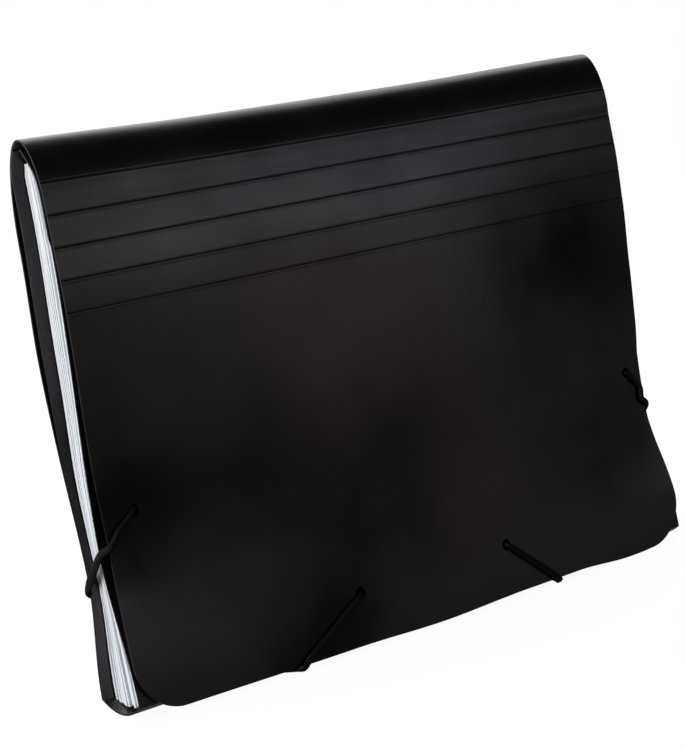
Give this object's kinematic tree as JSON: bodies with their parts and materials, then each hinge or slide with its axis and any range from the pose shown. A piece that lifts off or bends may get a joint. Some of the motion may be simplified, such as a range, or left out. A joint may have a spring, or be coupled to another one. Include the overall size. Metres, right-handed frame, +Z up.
{
  "type": "expanding file",
  "caption": "landscape expanding file of black plastic with white pleated pockets, a flap over the whole front and an elastic round each lower corner",
  "frame": {"origin": "middle of the width and depth, at the level it stands on", "axes": "+X along the width, +Y from the flap towards the back, +Z up"},
  "size_m": [0.3366, 0.0426, 0.246],
  "materials": {
    "black_plastic": "satin polypropylene sheet, fine grained",
    "white_film": "thin translucent white polypropylene film",
    "elastic": "braided black elastic cord"
  },
  "bodies": {
    "file": {"cover": "black_plastic", "rear_panel": "black_plastic", "left_gusset": "white_film", "right_gusset": "white_film", "divider_01": "white_film", "divider_02": "white_film", "divider_03": "white_film", "divider_04": "white_film", "divider_05": "white_film", "divider_06": "white_film", "divider_07": "white_film", "divider_08": "white_film", "divider_09": "white_film", "divider_10": "white_film", "divider_11": "white_film", "divider_12": "white_film"},
    "flap": {"flap": "black_plastic", "left_elastic": "elastic", "right_elastic": "elastic"}
  },
  "joints": [
    {"name": "flap_hinge", "type": "hinge", "parent": "file", "child": "flap", "pos_m": [0, 0.00012, 0.246], "axis": [-1, 0, 0], "range_deg": [0, 175], "deforming": ["left_elastic", "right_elastic"]}
  ]
}
